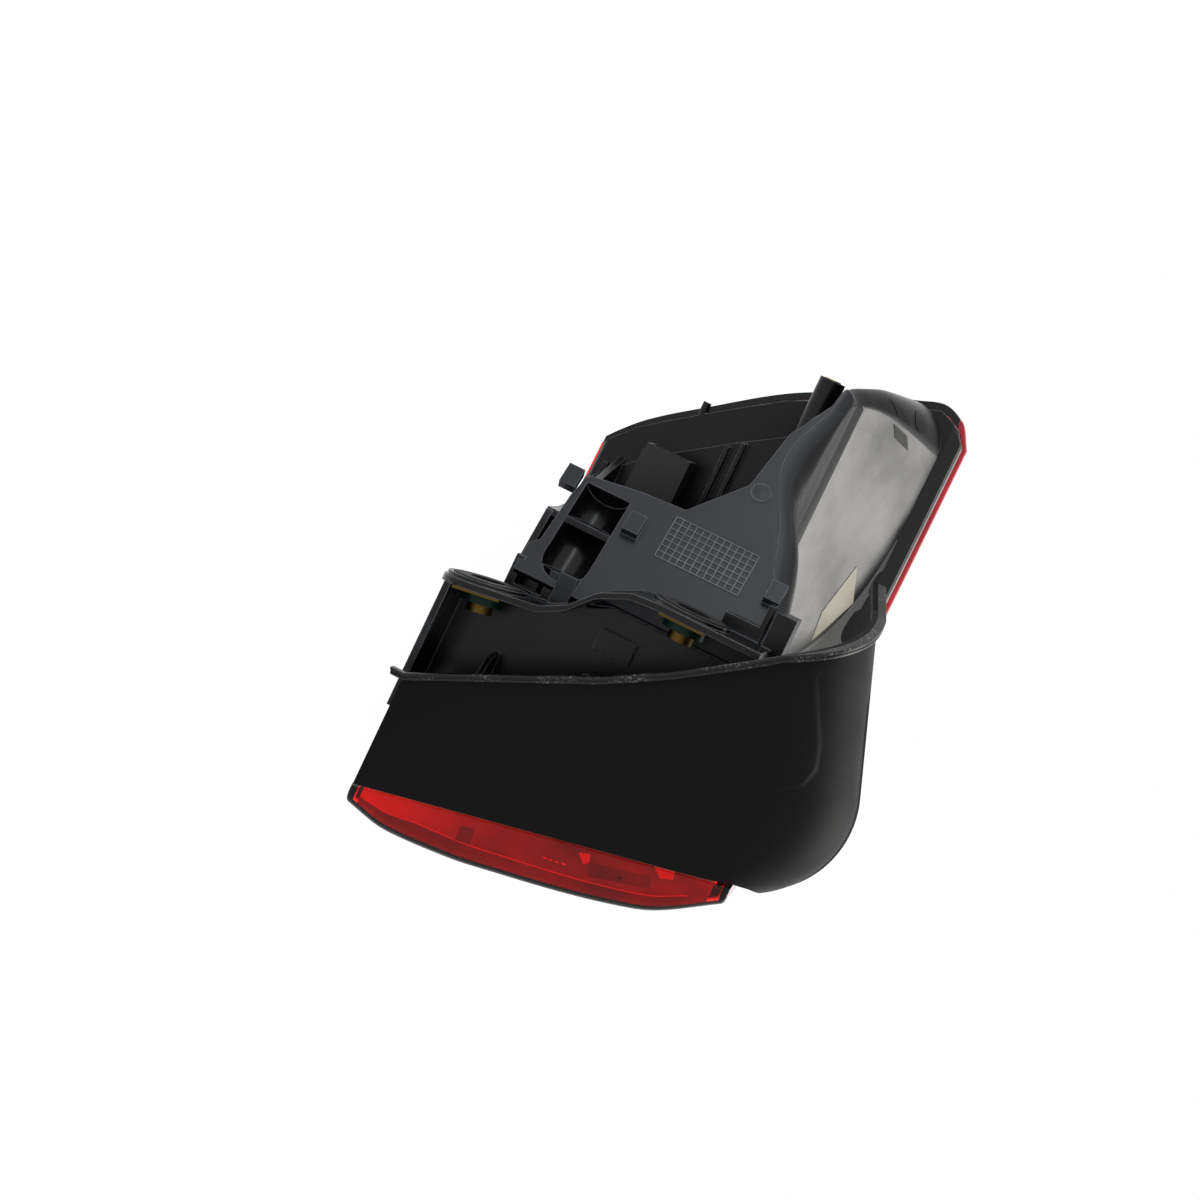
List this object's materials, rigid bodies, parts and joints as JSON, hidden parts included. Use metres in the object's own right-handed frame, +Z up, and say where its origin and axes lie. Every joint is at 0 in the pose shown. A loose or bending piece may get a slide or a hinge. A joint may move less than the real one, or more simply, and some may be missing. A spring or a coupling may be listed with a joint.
{
  "type": "tail light cluster",
  "caption": "Right-hand outer tail light cluster of a car: wrap-round red lens bonded to a moulded black housing with mounting pads, connector pocket and a matte gutter panel.",
  "frame": {"origin": "centre of the upper mounting pad's bore, in the plane of the pad's face towards the car body", "axes": "+X outboard (towards the car's right side), +Y forward, out of the mounting pads, +Z up"},
  "size_m": [0.244, 0.2617, 0.2024],
  "materials": {
    "housing_plastic": "semi-gloss moulded",
    "panel_plastic": "fine matte grain",
    "lens_plastic": "clear red, polished",
    "bond": "satin",
    "spring_steel": "plain",
    "seal_foam": "matte",
    "yellow_zinc": "passivated",
    "green_nylon": "moulded",
    "brass": "turned",
    "connector_plastic": "moulded",
    "tinned_blade": "tinned",
    "circuit_board": "solder mask",
    "zinc_screw": "zinc",
    "bezel_plastic": "gloss",
    "guide_acrylic": "polished",
    "reflex_red": "prismatic",
    "metallised": "metallised",
    "led_package": "plain",
    "diffuser_amber": "frosted",
    "heat_sink_metal": "extruded"
  },
  "bodies": {
    "root": {"housing": "housing_plastic", "gutter_panel": "panel_plastic", "outer_lens": "lens_plastic", "lens_bond": "bond", "panel_clips": "spring_steel", "upper_pad_seal": "seal_foam", "lower_pad_seal": "seal_foam", "upper_clip_nut": "yellow_zinc", "lower_clip_nut": "yellow_zinc", "upper_nut_collar": "green_nylon", "lower_nut_collar": "green_nylon", "boss_insert": "brass", "connector_socket": "connector_plastic", "connector_pins": "tinned_blade", "control_board": "circuit_board", "board_screws": "zinc_screw", "inner_bezel": "bezel_plastic", "tail_light_guide": "guide_acrylic", "reflex_reflector": "reflex_red", "stop_reflector": "metallised", "stop_leds": "led_package", "stop_led_board": "circuit_board", "turn_diffuser": "diffuser_amber", "turn_leds": "led_package", "turn_led_board": "circuit_board", "heat_sink": "heat_sink_metal"}
  },
  "joints": []
}
